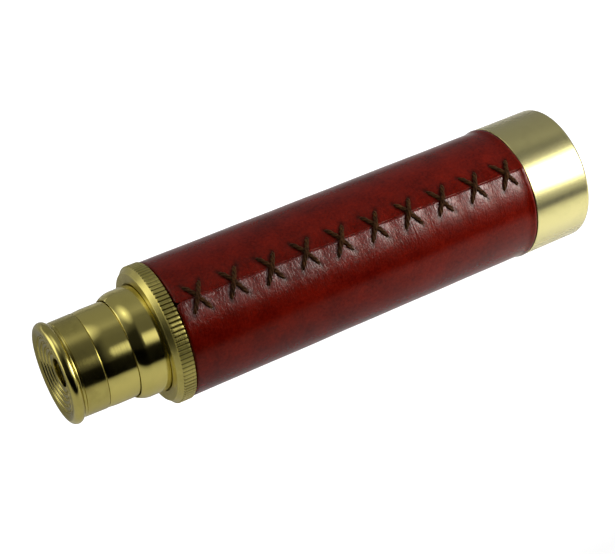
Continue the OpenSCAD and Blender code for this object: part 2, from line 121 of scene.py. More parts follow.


# Turned brass, polished on the lathe: fine rings round the axis, faint dull patches and painted shade in the knurl's
# grooves
def turnedBrass(name, roughness, spread, lineDepth, tarnishLeast, tarnishMost, lacquer=0.0):
    material, tree, surface, place = startMaterial(name)
    centred = addNode(tree, "Mapping", {"Vector": place, "Location": (0, 0, -sightHeight)}).outputs[0]
    parts = addNode(tree, "SeparateXYZ", {0: centred})
    across = addNode(tree, "CombineXYZ", {"Y": parts.outputs["Y"], "Z": parts.outputs["Z"]}).outputs[0]
    radius = addNode(tree, "VectorMath", {0: across}, operation="LENGTH").outputs["Value"]
    lathe = addNode(tree, "CombineXYZ", {"X": parts.outputs["X"], "Y": radius}).outputs[0]
    lines = addNode(tree, "TexNoise", {"Vector": lathe, "Scale": perMm(brass["linePitch"]), "Detail": 3.0,
                                       "Roughness": 0.6}).outputs["Fac"]
    smudge = addNode(tree, "TexNoise", {"Vector": place, "Scale": perMm(brass["smudge"]), "Detail": 4.0,
                                        "Roughness": 0.62}).outputs["Fac"]
    dull = addNode(tree, "MapRange", {"Value": smudge, "From Min": 0.48, "From Max": 0.72,
                                      "To Min": tarnishLeast, "To Max": tarnishMost}).outputs[0]
    metal = shade(brass["lacquered" if lacquer else "colour"])
    colour = addNode(tree, "Mix", {"Factor": dull, 6: metal, 7: shade(brass["tarnish"])}, data_type="RGBA").outputs[2]
    # painted shade: where a mesh marks its grooves, the colour is darkened toward the shade colour
    grooveShadeShare = addNode(tree, "Attribute", attribute_name="grooveShadeShare").outputs["Fac"]
    colour = addNode(tree, "Mix", {"Factor": grooveShadeShare, 6: colour, 7: shade(brass["grooveShade"])}, data_type="RGBA").outputs[2]
    mixed = addNode(tree, "Math", {0: lines, 1: smudge}, operation="MULTIPLY").outputs[0]
    rough = addNode(tree, "MapRange", {"Value": mixed, "From Min": 0.12, "From Max": 0.42,
                                       "To Min": roughness - spread, "To Max": roughness + spread}).outputs[0]
    bump = addNode(tree, "Bump", {"Height": lines, "Strength": 1.0, "Distance": lineDepth * mm}).outputs[0]
    surface.inputs["Metallic"].default_value = 1.0
    surface.inputs["Coat Weight"].default_value = lacquer
    surface.inputs["Coat Roughness"].default_value = 0.36
    surface.inputs["Coat IOR"].default_value = 1.62
    tree.links.new(colour, surface.inputs["Base Color"])
    tree.links.new(rough, surface.inputs["Roughness"])
    tree.links.new(bump, surface.inputs["Normal"])
    return material


polishedBrass = turnedBrass("polishedBrass", 0.12, 0.02, 0.008, 0.0, 0.15)
lacqueredBrass = turnedBrass("lacqueredBrass", 0.22, 0.03, 0.004, 0.0, 0.15, 1.0)
satinBrass = turnedBrass("satinBrass", 0.14, 0.02, 0.012, 0.45, 0.75)
knurlBrass = turnedBrass("knurlBrass", 0.3, 0.04, 0.001, 0.5, 0.8)

tubing = {
    "colour": "#DDCD78", "streak": "#C9B968", "streakWidth": 0.5, "streakLength": 60.0, "smudge": 9.0,
    "wall": 0.75, "edge": 0.1, "guideEdge": 0.2,
}


# Drawn brass tube: long fine scratches along the tube from sliding in the felt
def drawnBrass():
    material, tree, surface, place = startMaterial("drawnBrass")
    wide, long = perMm(tubing["streakWidth"]), perMm(tubing["streakLength"])
    stretched = addNode(tree, "Mapping", {"Vector": place, "Scale": (long, wide, wide)}).outputs[0]
    streaks = addNode(tree, "TexNoise", {"Vector": stretched, "Scale": 1.0, "Detail": 4.0}).outputs["Fac"]
    smudge = addNode(tree, "TexNoise", {"Vector": place, "Scale": perMm(tubing["smudge"]),
                                        "Detail": 3.0}).outputs["Fac"]
    colour = addNode(tree, "Mix", {"Factor": streaks, 6: shade(tubing["colour"]), 7: shade(tubing["streak"])},
                     data_type="RGBA").outputs[2]
    mixed = addNode(tree, "Math", {0: streaks, 1: smudge}, operation="MULTIPLY").outputs[0]
    rough = addNode(tree, "MapRange", {"Value": mixed, "From Min": 0.1, "From Max": 0.45,
                                       "To Min": 0.16, "To Max": 0.32}).outputs[0]
    bump = addNode(tree, "Bump", {"Height": streaks, "Strength": 1.0, "Distance": 0.003 * mm}).outputs[0]
    surface.inputs["Metallic"].default_value = 1.0
    tree.links.new(colour, surface.inputs["Base Color"])
    tree.links.new(rough, surface.inputs["Roughness"])
    tree.links.new(bump, surface.inputs["Normal"])
    return material


tubeBrass = drawnBrass()

hide = {
    "colour": "#560702",    # red-brown aniline dye
    "pale": "#781306",      # where the dye is rubbed thin
    "stitchShadeColour": "#2A0501",      # painted shade round the stitches and in the thread holes
    "gloss": "#FFD0B8",     # warm tint of the glaze's shine
    "mottle": 9.0,          # mm
    "speck": 0.8,           # mm
    "pore": 0.8,            # mm, drawn coarser than real pores so that they show
    "warp": (3.5, 1.2),     # mm, width and size of the drift that keeps the pores uneven
    "wrinkle": (0.9, 3.6),  # mm along and across the seam
    "relief": 0.1,          # mm
}


# Glazed cowhide: mottled dye, pores, wrinkles that run across the seam, painted shade round the stitches and a coat of
# wax below it
def glazedLeather():
    material, tree, surface, place = startMaterial("glazedLeather")
    mottle = addNode(tree, "TexNoise", {"Vector": place, "Scale": perMm(hide["mottle"]), "Detail": 6.0,
                                        "Roughness": 0.6}).outputs["Fac"]
    speck = addNode(tree, "TexNoise", {"Vector": place, "Scale": perMm(hide["speck"]), "Detail": 3.0}).outputs["Fac"]
    patch = addNode(tree, "Math", {0: speck, 1: 0.9, 2: mottle}, operation="MULTIPLY_ADD").outputs[0]
    patch = addNode(tree, "MapRange", {"Value": patch, "From Min": 0.74, "From Max": 1.18}).outputs[0]
    dye = addNode(tree, "Mix", {"Factor": patch, 6: shade(hide["colour"]), 7: shade(hide["pale"])},
                  data_type="RGBA").outputs[2]
    # painted shade: darker where the thread lies on the hide and where it goes in
    shadeByStitch = addNode(tree, "Attribute", attribute_name="stitchShade").outputs["Fac"]
    colour = addNode(tree, "Mix", {"Factor": shadeByStitch, 6: dye, 7: shade(hide["stitchShadeColour"])}, data_type="RGBA").outputs[2]
    driftWidth, driftSize = hide["warp"]
    warped = addNode(tree, "TexNoise", {"Vector": place, "Scale": perMm(driftWidth), "Detail": 2.0}).outputs["Color"]
    moved = addNode(tree, "VectorMath", {0: warped, 1: (driftSize * mm,) * 3, 2: place},
                    operation="MULTIPLY_ADD").outputs[0]
    pores = addNode(tree, "TexVoronoi", {"Vector": moved, "Scale": perMm(hide["pore"])},
                    feature="DISTANCE_TO_EDGE").outputs["Distance"]
    grain = addNode(tree, "MapRange", {"Value": pores, "From Max": 0.25}).outputs[0]
    flat = addNode(tree, "UVMap", uv_map="flatHide").outputs[0]
    along, across = hide["wrinkle"]
    drawn = addNode(tree, "Mapping", {"Vector": flat, "Scale": (perMm(along), perMm(across), 1.0)}).outputs[0]
    wrinkle = addNode(tree, "TexNoise", {"Vector": drawn, "Scale": 1.0, "Detail": 2.0, "Roughness": 0.5,
                                         "Distortion": 0.4}).outputs["Fac"]
    near = addNode(tree, "Attribute", attribute_name="seamNear").outputs["Fac"]
    share = addNode(tree, "MapRange", {"Value": near, "To Min": 0.06, "To Max": 0.9}).outputs[0]
    middle = addNode(tree, "Math", {0: wrinkle, 1: 0.5}, operation="SUBTRACT").outputs[0]
    beside = addNode(tree, "Math", {0: middle}, operation="ABSOLUTE").outputs[0]
    crease = addNode(tree, "MapRange", {"Value": beside, "From Max": 0.05, "To Max": 0.4}).outputs[0]
    creased = addNode(tree, "Math", {0: wrinkle, 1: 1.3, 2: crease}, operation="MULTIPLY_ADD").outputs[0]
    folds = addNode(tree, "Math", {0: creased, 1: share}, operation="MULTIPLY").outputs[0]
    relief = addNode(tree, "Math", {0: grain, 1: 0.13, 2: folds}, operation="MULTIPLY_ADD").outputs[0]
    bump = addNode(tree, "Bump", {"Height": relief, "Strength": 1.0, "Distance": hide["relief"] * mm}).outputs[0]
    rough = addNode(tree, "MapRange", {"Value": mottle, "From Min": 0.3, "From Max": 0.7,
                                       "To Min": 0.1, "To Max": 0.17}).outputs[0]
    waxed = addNode(tree, "Attribute", attribute_name="seamWax").outputs["Fac"]
    surface.inputs["IOR"].default_value = 1.48
    surface.inputs["Specular IOR Level"].default_value = 0.27
    surface.inputs["Specular Tint"].default_value = shade(hide["gloss"])
    surface.inputs["Coat Roughness"].default_value = 0.13
    surface.inputs["Coat IOR"].default_value = 1.5
    tree.links.new(waxed, surface.inputs["Coat Weight"])
    tree.links.new(bump, surface.inputs["Coat Normal"])
    tree.links.new(colour, surface.inputs["Base Color"])
    tree.links.new(rough, surface.inputs["Roughness"])
    tree.links.new(bump, surface.inputs["Normal"])
    return material


leatherFinish = glazedLeather()

thread = {"colour": "#331B08", "worn": "#573413", "fibre": 0.35, "pile": 1.8, "relief": 0.06}  # sizes in mm


# Waxed linen thread: dull brown with fine fibres, paler where it is rubbed
def waxedLinen():
    material, tree, surface, place = startMaterial("waxedLinen")
    fibres = addNode(tree, "TexNoise", {"Vector": place, "Scale": perMm(thread["fibre"]), "Detail": 3.0}).outputs["Fac"]
    rubbed = addNode(tree, "TexNoise", {"Vector": place, "Scale": perMm(thread["pile"]), "Detail": 2.0}).outputs["Fac"]
    mixed = addNode(tree, "Math", {0: fibres, 1: rubbed}, operation="MULTIPLY").outputs[0]
    share = addNode(tree, "MapRange", {"Value": mixed, "From Min": 0.15, "From Max": 0.4}).outputs[0]
    colour = addNode(tree, "Mix", {"Factor": share, 6: shade(thread["colour"]), 7: shade(thread["worn"])},
                     data_type="RGBA").outputs[2]
    bump = addNode(tree, "Bump", {"Height": fibres, "Strength": 1.0, "Distance": thread["relief"] * mm}).outputs[0]
    surface.inputs["Roughness"].default_value = 0.75
    surface.inputs["Specular IOR Level"].default_value = 0.15
    tree.links.new(colour, surface.inputs["Base Color"])
    tree.links.new(bump, surface.inputs["Normal"])
    return material


threadFinish = waxedLinen()


# Two-tone finish with a grain: felt, cork, card and steel differ in colour, grain size and gloss
def grainedFinish(name, first, second, grainSize, roughness, depth, metallic=0.0):
    material, tree, surface, place = startMaterial(name)
    grain = addNode(tree, "TexNoise", {"Vector": place, "Scale": perMm(grainSize), "Detail": 5.0,
                                       "Roughness": 0.7}).outputs["Fac"]
    share = addNode(tree, "MapRange", {"Value": grain, "From Min": 0.35, "From Max": 0.65}).outputs[0]
    colour = addNode(tree, "Mix", {"Factor": share, 6: shade(first), 7: shade(second)}, data_type="RGBA").outputs[2]
    bump = addNode(tree, "Bump", {"Height": grain, "Strength": 1.0, "Distance": depth * mm}).outputs[0]
    surface.inputs["Metallic"].default_value = metallic
    surface.inputs["Roughness"].default_value = roughness
    tree.links.new(colour, surface.inputs["Base Color"])
    tree.links.new(bump, surface.inputs["Normal"])
    return material


woolFelt = grainedFinish("woolFelt", "#16261B", "#2A4231", 0.4, 0.95, 0.12)
agglomeratedCork = grainedFinish("agglomeratedCork", "#8A5E38", "#C69A68", 1.6, 0.85, 0.1)
blackCard = grainedFinish("blackCard", "#141312", "#24221F", 0.6, 0.8, 0.03)
springSteel = grainedFinish("springSteel", "#7F8386", "#A4A8AB", 0.5, 0.32, 0.004, 1.0)
silveredMirror = grainedFinish("silveredMirror", "#D9DDDF", "#E4E7E8", 18.0, 0.03, 0.0, 1.0)


# Glass: clear, ground or coloured in the melt, with a faint ripple from casting
def glassFinish(name, colour, roughness, ripple, rippleDepth):
    material, tree, surface, place = startMaterial(name)
    waves = addNode(tree, "TexNoise", {"Vector": place, "Scale": perMm(ripple), "Detail": 3.0}).outputs["Fac"]
    bump = addNode(tree, "Bump", {"Height": waves, "Strength": 1.0, "Distance": rippleDepth * mm}).outputs[0]
    surface.inputs["Base Color"].default_value = shade(colour)
    surface.inputs["Roughness"].default_value = roughness
    surface.inputs["IOR"].default_value = 1.52
    surface.inputs["Transmission Weight"].default_value = 1.0
    tree.links.new(bump, surface.inputs["Normal"])
    return material


clearGlass = glassFinish("clearGlass", "#F4F8F6", 0.0, 12.0, 0.002)
groundGlass = glassFinish("groundGlass", "#EEF2F0", 0.45, 0.35, 0.03)
redGlass = glassFinish("redGlass", "#E0202C", 0.04, 2.2, 0.05)
amberGlass = glassFinish("amberGlass", "#FF9E1C", 0.04, 2.2, 0.05)
greenGlass = glassFinish("greenGlass", "#22A650", 0.04, 2.2, 0.05)
blueGlass = glassFinish("blueGlass", "#2256D8", 0.04, 2.2, 0.05)
print("materials made")


# Making pieces

def finishPiece(name, bm, body, finish, nodes, sharp=40):
    mesh = bpy.data.meshes.new(name)
    bm.to_mesh(mesh)
    bm.free()
    mesh.shade_smooth()
    mesh.set_sharp_from_angle(angle=math.radians(sharp))
    mesh.materials.append(finish)
    piece = bpy.data.objects.new(name, mesh)
    bpy.context.scene.collection.objects.link(piece)
    weighted = piece.modifiers.new("weighted", "WEIGHTED_NORMAL")
    weighted.keep_sharp = True
    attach(piece, body)
    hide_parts(*nodes)
    return piece


def arc(station, radius, size, first, last, steps):  # angles from +station toward +radius, in degrees
    turns = [math.radians(first + (last - first) * i / steps) for i in range(steps + 1)]
    return [(station + size * math.cos(t), radius + size * math.sin(t)) for t in turns]


# Spins a half section, given as (station, radius) in mm, round the sight axis: one sector, then its copies
def spinSection(outline, edge, steps=192, sectors=12):
    bm = bmesh.new()
    corners = [bm.verts.new((stationToX(s), 0, sightHeight + r * mm)) for s, r in outline]
    section = bm.faces.new(corners)
    sharp = [loop.vert for loop in section.loops if loop.calc_angle() < math.radians(150)]
    bmesh.ops.bevel(bm, geom=sharp, offset=edge * mm, offset_type="OFFSET", affect="VERTICES", segments=3,
                    profile=0.5, material=-1, clamp_overlap=True)
    bmesh.ops.delete(bm, geom=bm.faces[:], context="FACES_ONLY")
    turn = {"cent": sightPoint, "axis": (1, 0, 0), "dvec": (0, 0, 0)}
    bmesh.ops.spin(bm, geom=bm.verts[:] + bm.edges[:], angle=2 * math.pi / sectors, steps=steps // sectors, **turn)
    bmesh.ops.spin(bm, geom=bm.verts[:] + bm.edges[:] + bm.faces[:], angle=2 * math.pi * (1 - 1 / sectors),
                   steps=sectors - 1, use_duplicate=True, **turn)
    bmesh.ops.remove_doubles(bm, verts=bm.verts[:], dist=1e-7)
    bmesh.ops.recalc_face_normals(bm, faces=bm.faces[:])
    return bm


# Eyepiece: beaded rim, dished face with turned grooves, eye hole, lens pocket and tube socket

eyeStart, eyeEnd, eyeBeadRadius = span("eyepiece")
lensStart, _, lensRadius = span("eye_lens")
tubeStart, _, tubeRadius = span("draw_3_tube")
eyepiece = {
    "bodyFront": 15.12, "bodyRear": 15.25, "rearChamfer": 0.3, "beadSize": 1.8,
    "coveSize": 0.55, "coveBack": 0.7, "coveEnd": 1.15, "coveLift": 0.15,  # back and end in shares of its size
    "holeRadius": 4.6, "dishDepth": 2.2, "dishRim": 0.2, "dishShort": 0.3,  # short of the bead's middle, in bead sizes
    "grooves": 4, "grooveSize": 0.45, "fit": 0.05, "edge": 0.15,
}


def eyepieceOutline(e):
    bead = (eyeStart + e["beadSize"], eyeBeadRadius - e["beadSize"])
    hole = (eyeStart + e["dishDepth"], e["holeRadius"])
    rim = (eyeStart + e["dishRim"], bead[1] - e["dishShort"] * e["beadSize"])
    points = [hole]
    slope = math.degrees(math.atan2(rim[1] - hole[1], rim[0] - hole[0]))
    for i in range(1, e["grooves"] + 1):
        share = i / (e["grooves"] + 1)
        middle = [hole[k] + (rim[k] - hole[k]) * share for k in (0, 1)]
        points += arc(*middle, e["grooveSize"], slope - 180, slope, 8)
    points += arc(*bead, e["beadSize"], 214, 30, 22)
    cove = eyeStart + 2 * e["beadSize"] + e["coveSize"] * e["coveBack"]
    points += arc(cove, e["bodyFront"] + e["coveLift"], e["coveSize"], 190, 345, 8)
    points += [(cove + e["coveEnd"] * e["coveSize"], e["bodyFront"]), (eyeEnd - e["rearChamfer"], e["bodyRear"])]
    points += [(eyeEnd, e["bodyRear"] - e["rearChamfer"])]
    points += [(eyeEnd, tubeRadius + e["fit"]), (tubeStart, tubeRadius + e["fit"])]
    points += [(tubeStart, lensRadius + e["fit"]), (lensStart, lensRadius + e["fit"]), (lensStart, e["holeRadius"])]
    return points


finishPiece("eyepiece_cup", spinSection(eyepieceOutline(eyepiece), eyepiece["edge"]), "draw_3",
            satinBrass, ["eyepiece"])
print("eyepiece turned")


# Collars: a rounded front lip, a step over the tube and a spigot inside it

collarOne = {"lipLength": 4.0, "lipDrop": 1.2, "seatGap": 0.4, "edge": 0.08}
collarTwo = {"lipLength": 4.0, "lipDrop": 0.3, "edge": 0.08}
clearance = {"slide": 0.1, "fit": 0.05, "seat": 1.0}


def makeCollar(name, node, body, lip, tubeNode, nextTube, exposedEnd, seatRadius=0):
    start, end, radius = span(node)
    tubeFrom, _, tubeOuter = span(tubeNode)
    bore = span(nextTube)[2] + clearance["slide"]
    socket = tubeOuter + clearance["fit"]
    spigot = tubeOuter - tubing["wall"] - clearance["fit"]
    length, drop = lip["lipLength"], lip["lipDrop"]
    size = (length ** 2 + drop ** 2) / (2 * drop)  # radius of the lip's arc
    points = arc(start + length, radius - size, size, math.degrees(math.atan2(size - drop, -length)), 90, 10)
    points += [(exposedEnd, radius), (exposedEnd, socket), (tubeFrom, socket)]
    points += [(tubeFrom, spigot), (end, spigot), (end, bore)]
    if seatRadius:
        points += [(start + clearance["seat"], bore), (start + clearance["seat"], seatRadius), (start, seatRadius)]
    else:
        points += [(start, bore)]
    finishPiece(name, spinSection(points, lip["edge"]), body, polishedBrass, [node])


ringStart, ringEnd, ringRadius = span("knurled_ring")
collarOneStart, _, collarOneRadius = span("draw_1_collar")
collarTwoRadius = span("draw_2_collar")[2]
makeCollar("draw_1_collar_turned", "draw_1_collar", "draw_1", collarOne, "draw_1_tube", "draw_2_tube",
           ringStart + clearance["seat"], collarTwoRadius + collarOne["seatGap"])
makeCollar("draw_2_collar_turned", "draw_2_collar", "draw_2", collarTwo, "draw_2_tube", "draw_3_tube",
           collarOneStart + clearance["seat"])
print("collars turned")


# Draw tubes and the guide rings on their inner ends

for number in (1, 2, 3):
    start, end, radius = span(f"draw_{number}_tube")
    bore = radius - tubing["wall"]
    tube = [(start, radius), (end, radius), (end, bore), (start, bore)]
    finishPiece(f"draw_{number}_tubing", spinSection(tube, tubing["edge"]), f"draw_{number}", tubeBrass,
                [f"draw_{number}_tube"])
    guideStart, guideEnd, guideRadius = span(f"draw_{number}_guide")
    inner = radius + clearance["fit"]
    guide = [(guideStart, guideRadius), (guideEnd, guideRadius), (guideEnd, inner), (guideStart, inner)]
    finishPiece(f"draw_{number}_guide_ring", spinSection(guide, tubing["guideEdge"]), f"draw_{number}",
                satinBrass, [f"draw_{number}_guide"])
print("tubes and guides turned")


# Knurled ring: flat face, bevel and a straight knurl rolled into the rim

knurl = {
    "teeth": 96, "depth": 0.42, "length": 3.9, "bevel": 1.25, "stepsPerTooth": 10, "grooveShare": 0.36,
    # frontStep, barrelWall and seatGap are in mm; the figure after them is the strength of the painted shade in the
    # grooves
    "frontStep": (0.1, 0.05), "barrelWall": 1.0, "seatGap": 0.4, "grooveShade": 0.9, "edge": 0.1,
}


def knurledRing(k):
    bore = span("draw_1_tube")[2] + clearance["slide"]
    spigot = barrelRadius - k["barrelWall"] - clearance["fit"]
    seat = collarOneRadius + k["seatGap"]
    seatEnd = ringStart + clearance["seat"]
    root = ringRadius - k["depth"]
    band = k["length"]
    ahead, below = k["frontStep"]
    outline = [(ringStart, root - k["bevel"]), (-band - ahead, root - below), (-band, ringRadius)]
    outline += [(-band * (1 - i / 4), ringRadius) for i in range(1, 4)]
    outline += [(0, ringRadius), (0, spigot), (ringEnd, spigot), (ringEnd, bore)]
    outline += [(seatEnd, bore), (seatEnd, seat), (ringStart, seat)]
    bm = spinSection(outline, k["edge"], k["teeth"] * k["stepsPerTooth"])
    grooveShadeLayer = bm.verts.layers.float.new("grooveShadeShare")
    for vert in bm.verts:  # the roll presses the grooves between the teeth, and the grooves get painted shade
        flat = Vector((0, vert.co.y, vert.co.z - sightHeight))
        distance = flat.length / mm
        if distance > root and vert.co.x < stationToX(k["edge"] / 10):
            turn = math.atan2(flat.y, flat.z) * k["teeth"]
            rise = min(1, (0.5 + 0.5 * math.cos(turn)) / k["grooveShare"])
            ridge = root + k["depth"] * rise
            # painted shade: the deeper into a groove, the darker its colour
            vert[grooveShadeLayer] = k["grooveShade"] * (1 - rise)
            flat = flat * (min(distance, ridge) / distance)
            vert.co = (vert.co.x, flat.y, flat.z + sightHeight)
    bmesh.ops.recalc_face_normals(bm, faces=bm.faces[:])
    return bm


finishPiece("knurled_ring_rolled", knurledRing(knurl), "barrel", knurlBrass, ["knurled_ring"], 60)
print("ring knurled")


# Object cell: the shell and the frosted disc in its end

cellStart, cellEnd, cellRadius = span("cell_shell")
discStart, discEnd, discRadius = span("frosted_glass")
cell = {
    "farRound": 1.2, "endWall": 1.2, "discLand": 1.8, "fit": 0.05, "snapHalf": 0.95, "snapDepth": 0.7, "edge": 0.18,
    "discEdge": 0.2,
}


def cellOutline(c):
    bore = discRadius + c["fit"]
    snapStart, snapEnd, _ = span("snap_ring")
    snapMiddle = (snapStart + snapEnd) / 2
    snapFrom, snapTo, snapFloor = snapMiddle - c["snapHalf"], snapMiddle + c["snapHalf"], bore + c["snapDepth"]
    points = [(cellStart, cellRadius)]
    points += arc(cellEnd - c["farRound"], cellRadius - c["farRound"], c["farRound"], 90, 0, 8)
    points += [(cellEnd, bore - c["discLand"]), (cellEnd - c["endWall"], bore - c["discLand"])]
    points += [(cellEnd - c["endWall"], bore), (snapTo, bore), (snapTo, snapFloor), (snapFrom, snapFloor)]
    points += [(snapFrom, bore), (cellStart, bore)]
    return points


finishPiece("cell_shell_turned", spinSection(cellOutline(cell), cell["edge"]), "object_cell",
            lacqueredBrass, ["cell_shell"])
disc = [(discStart, 0), (discStart, discRadius), (discEnd, discRadius), (discEnd, 0)]
finishPiece("frosted_disc", spinSection(disc, cell["discEdge"]), "object_cell", groundGlass,
            ["frosted_glass"])
print("object cell turned")


# Leather sleeve: one strip wrapped round the barrel, its edges drawn together by the stitches

seam = {"angle": 29.5, "skew": 3, "gap": 0.06, "stitches": 10, "pitch": 12.3, "halfWidth": 3.1, "halfHeight": 4.9}
sleeve = {
    "rows": 260, "columns": 132, "crowding": 0.62,  # crowding draws the columns toward the seam
    "thickness": 1.6, "wall": 1.4,                  # the wall stands just clear of the barrel
    "lift": 1.2, "liftReach": 4.8,                  # the stitches press the two edges up into a low ridge
    "slack": 0.65, "pinchShift": 0.8,               # share of that rise left between two stitches
    "waxReach": 6.0, "waxLeast": 0.35,              # wax rubbed in below the seam, most beside the stitches
    "wrinkleReach": 9.0,
    "edgeRound": 0.03, "edgeTurn": 0.2,             # rounding of the cut edges
    "holePull": 0.03, "holeReach": 0.7,             # dents where the thread goes in
    # the last figure on the next line sets how dark the painted shade beside the strands is
    "strandPress": 0.08, "strandReach": 1.0, "strandShade": 0.7,
    "endRoll": 0.3, "endWidth": 0.7,
    "flareLength": 1.6, "corner": 1.2, "cornerReach": 4.0,
    "wave": 0.07, "waveSize": 14.0,
}
sleeveStart, sleeveEnd, hemRadius = span("leather_sleeve")
sleeveRadius = barrelRadius + sleeve["thickness"]
sleeveMiddle = (sleeveStart + sleeveEnd) / 2
sleeveLength = sleeveEnd - sleeveStart
stitchStations = [sleeveMiddle + (i - (seam["stitches"] - 1) / 2) * seam["pitch"] for i in range(seam["stitches"])]


def seamAngle(station):
    return math.radians(seam["angle"] + seam["skew"] * (station - sleeveMiddle) / sleeveLength)


def falling(distance, reach):  # bell curve
    return math.exp(-(distance / reach) ** 2)


def strandDistance(along, across, slant):  # from a spot on the hide to one strand of a cross
    length = math.hypot(seam["halfWidth"], seam["halfHeight"])
    direction = (slant * seam["halfWidth"] / length, seam["halfHeight"] / length)
    share = max(-length, min(length, along * direction[0] + across * direction[1]))
    return math.hypot(along - share * direction[0], across - share * direction[1])


def stitchPinch(along):  # full beside a stitch, none halfway to the next
    return abs(math.cos(math.pi * (along + sleeve["pinchShift"]) / seam["pitch"]))


def seamLift(along, across):
    height = sleeve["lift"] * (sleeve["slack"] + (1 - sleeve["slack"]) * stitchPinch(along))
    return height * math.exp(-abs(across) / sleeve["liftReach"])


def leatherRelief(station, across, edgeDistance):  # height, painted shade by the stitches and wax of a spot on the hide
    nearest = min(stitchStations, key=lambda s: abs(s - station))
    along = station - nearest
    relief = seamLift(along, across)
    relief -= sleeve["edgeRound"] * max(0, 1 - edgeDistance / sleeve["edgeTurn"]) ** 2
    strand = min(strandDistance(along, across, 1), strandDistance(along, across, -1))
    press = falling(strand, sleeve["strandReach"])
    holes = falling(math.hypot(abs(along) - seam["halfWidth"], abs(across) - seam["halfHeight"]), sleeve["holeReach"])
    relief -= sleeve["strandPress"] * press + sleeve["holePull"] * holes
    relief += (hemRadius - sleeveRadius) * falling(sleeveEnd - station, sleeve["flareLength"])
    endDistance = min(station - sleeveStart, sleeveEnd - station)
    relief -= sleeve["endRoll"] * max(0, 1 - endDistance / sleeve["endWidth"]) ** 2
    rubbed = sleeve["waxLeast"] + (1 - sleeve["waxLeast"]) * stitchPinch(along)
    wax = rubbed * falling(across, sleeve["waxReach"]) if across > 0 else 0
    # painted shade beside the strands and in the thread holes
    return relief, max(sleeve["strandShade"] * press, holes), wax


def cornerPull(station, edgeDistance):  # the corners at the ring are cut round
    inward = max(0, 1 - edgeDistance / sleeve["corner"])
    back = sleeve["corner"] * (1 - math.sqrt(1 - inward ** 2))
    return back * max(0, 1 - (station - sleeveStart) / sleeve["cornerReach"])


def leatherSleeve():
    bm = bmesh.new()
    bmesh.ops.create_grid(bm, x_segments=sleeve["rows"], y_segments=sleeve["columns"], size=0.5)
    stitchShadeLayer = bm.verts.layers.float.new("stitchShade")
    nearLayer = bm.verts.layers.float.new("seamNear")
    waxLayer = bm.verts.layers.float.new("seamWax")
    flatLayer = bm.loops.layers.uv.new("flatHide")
    around = 2 * math.pi * sleeveRadius
    flatSpots = {}
    for vert in bm.verts:
        station = sleeveStart + (vert.co.x + 0.5) * sleeveLength
        turn = vert.co.y + 0.5
        share = turn - sleeve["crowding"] * math.sin(2 * math.pi * turn) / (2 * math.pi)
        fromSeam = seam["gap"] / 2 + share * (around - seam["gap"])
        across = fromSeam if fromSeam < around / 2 else fromSeam - around
        edgeDistance = max(0, min(fromSeam, around - fromSeam) - seam["gap"] / 2)
        station += cornerPull(station, edgeDistance)
        relief, shadeByStitch, wax = leatherRelief(station, across, edgeDistance)
        angle = seamAngle(station) + fromSeam / sleeveRadius
        spot = onBarrel(station, sleeveRadius, angle)
        relief += sleeve["wave"] * noise.noise(spot / (sleeve["waveSize"] * mm))
        vert.co = onBarrel(station, sleeveRadius + relief, angle)
        # painted shade by the stitches, kept for the leather's colour
        vert[stitchShadeLayer] = shadeByStitch
        vert[nearLayer] = falling(across, sleeve["wrinkleReach"])
        vert[waxLayer] = wax
        flatSpots[vert] = (station * mm, fromSeam * mm)
    for face in bm.faces:
        for loop in face.loops:
            loop[flatLayer].uv = flatSpots[loop.vert]
    bmesh.ops.recalc_face_normals(bm, faces=bm.faces[:])
    outward = bm.faces[:][len(bm.faces) // 2]
    middle = outward.calc_center_median()
    if outward.normal.dot(Vector((0, middle.y, middle.z - sightHeight))) < 0:
        bmesh.ops.reverse_faces(bm, faces=bm.faces[:])
    return bm


leatherPiece = finishPiece("leather_wrap", leatherSleeve(), "barrel", leatherFinish, ["leather_sleeve"], 70)
thicken = leatherPiece.modifiers.new("wall", "SOLIDIFY")
thicken.thickness = sleeve["wall"] * mm
thicken.offset = -1
print("leather wrapped")


# Cross stitches: each strand is three plies laid together, diving into the leather at both ends

strand = {
    "plies": 3, "plyRadius": 0.36, "plyOffset": 0.37, "twist": 5.2, "rings": 30, "sides": 9, "flatten": 0.8,
    "rise": 0.3, "dive": 1.1, "diveFrom": 0.6, "overRise": 0.7, "overReach": 0.3, "endTaper": 0.45, "jitter": 0.25,
}
draws = random.Random(11)


def strandFrames(middle, slant, over, shift):  # places across the strand, from its first end to its last
    points = []
    widths = []
    for i in range(strand["rings"]):
        t = 2 * i / (strand["rings"] - 1) - 1
        along = middle + slant * seam["halfWidth"] * t + shift[0] * t + shift[1]
        across = seam["halfHeight"] * t + shift[2]
        ending = max(0, (abs(t) - strand["diveFrom"]) / (1 - strand["diveFrom"])) ** 2
        height = strand["rise"] + over * strand["overRise"] * falling(t, strand["overReach"]) - strand["dive"] * ending
        height += seamLift(along - middle, across)
        points.append(onBarrel(along, sleeveRadius + height, seamAngle(middle) + across / sleeveRadius))
        widths.append(1 - strand["endTaper"] * ending)
    frames = []
    for i, point in enumerate(points):
        tangent = (points[min(i + 1, len(points) - 1)] - points[max(i - 1, 0)]).normalized()
        outward = Vector((0, point.y, point.z - sightHeight)).normalized()
        side = tangent.cross(outward).normalized()
        outward = side.cross(tangent)
        place = Matrix((side * widths[i], outward * widths[i] * strand["flatten"], tangent)).transposed().to_4x4()
        place.translation = point
        frames.append(place)
    return frames


def layPly(bm, frames, phase):
    length = (frames[-1].translation - frames[0].translation).length / mm
    grid = bmesh.ops.create_grid(bm, x_segments=strand["rings"] - 1, y_segments=strand["sides"], size=0.5)["verts"]
    for vert in grid:
        share = vert.co.x + 0.5
        lay = phase + 2 * math.pi * length / strand["twist"] * share
        turn = 2 * math.pi * (vert.co.y + 0.5)
        side = strand["plyOffset"] * math.cos(lay) + strand["plyRadius"] * math.cos(turn)
        rise = strand["plyOffset"] * math.sin(lay) + strand["plyRadius"] * math.sin(turn)
        vert.co = frames[round(share * (strand["rings"] - 1))] @ Vector((side * mm, rise * mm, 0))


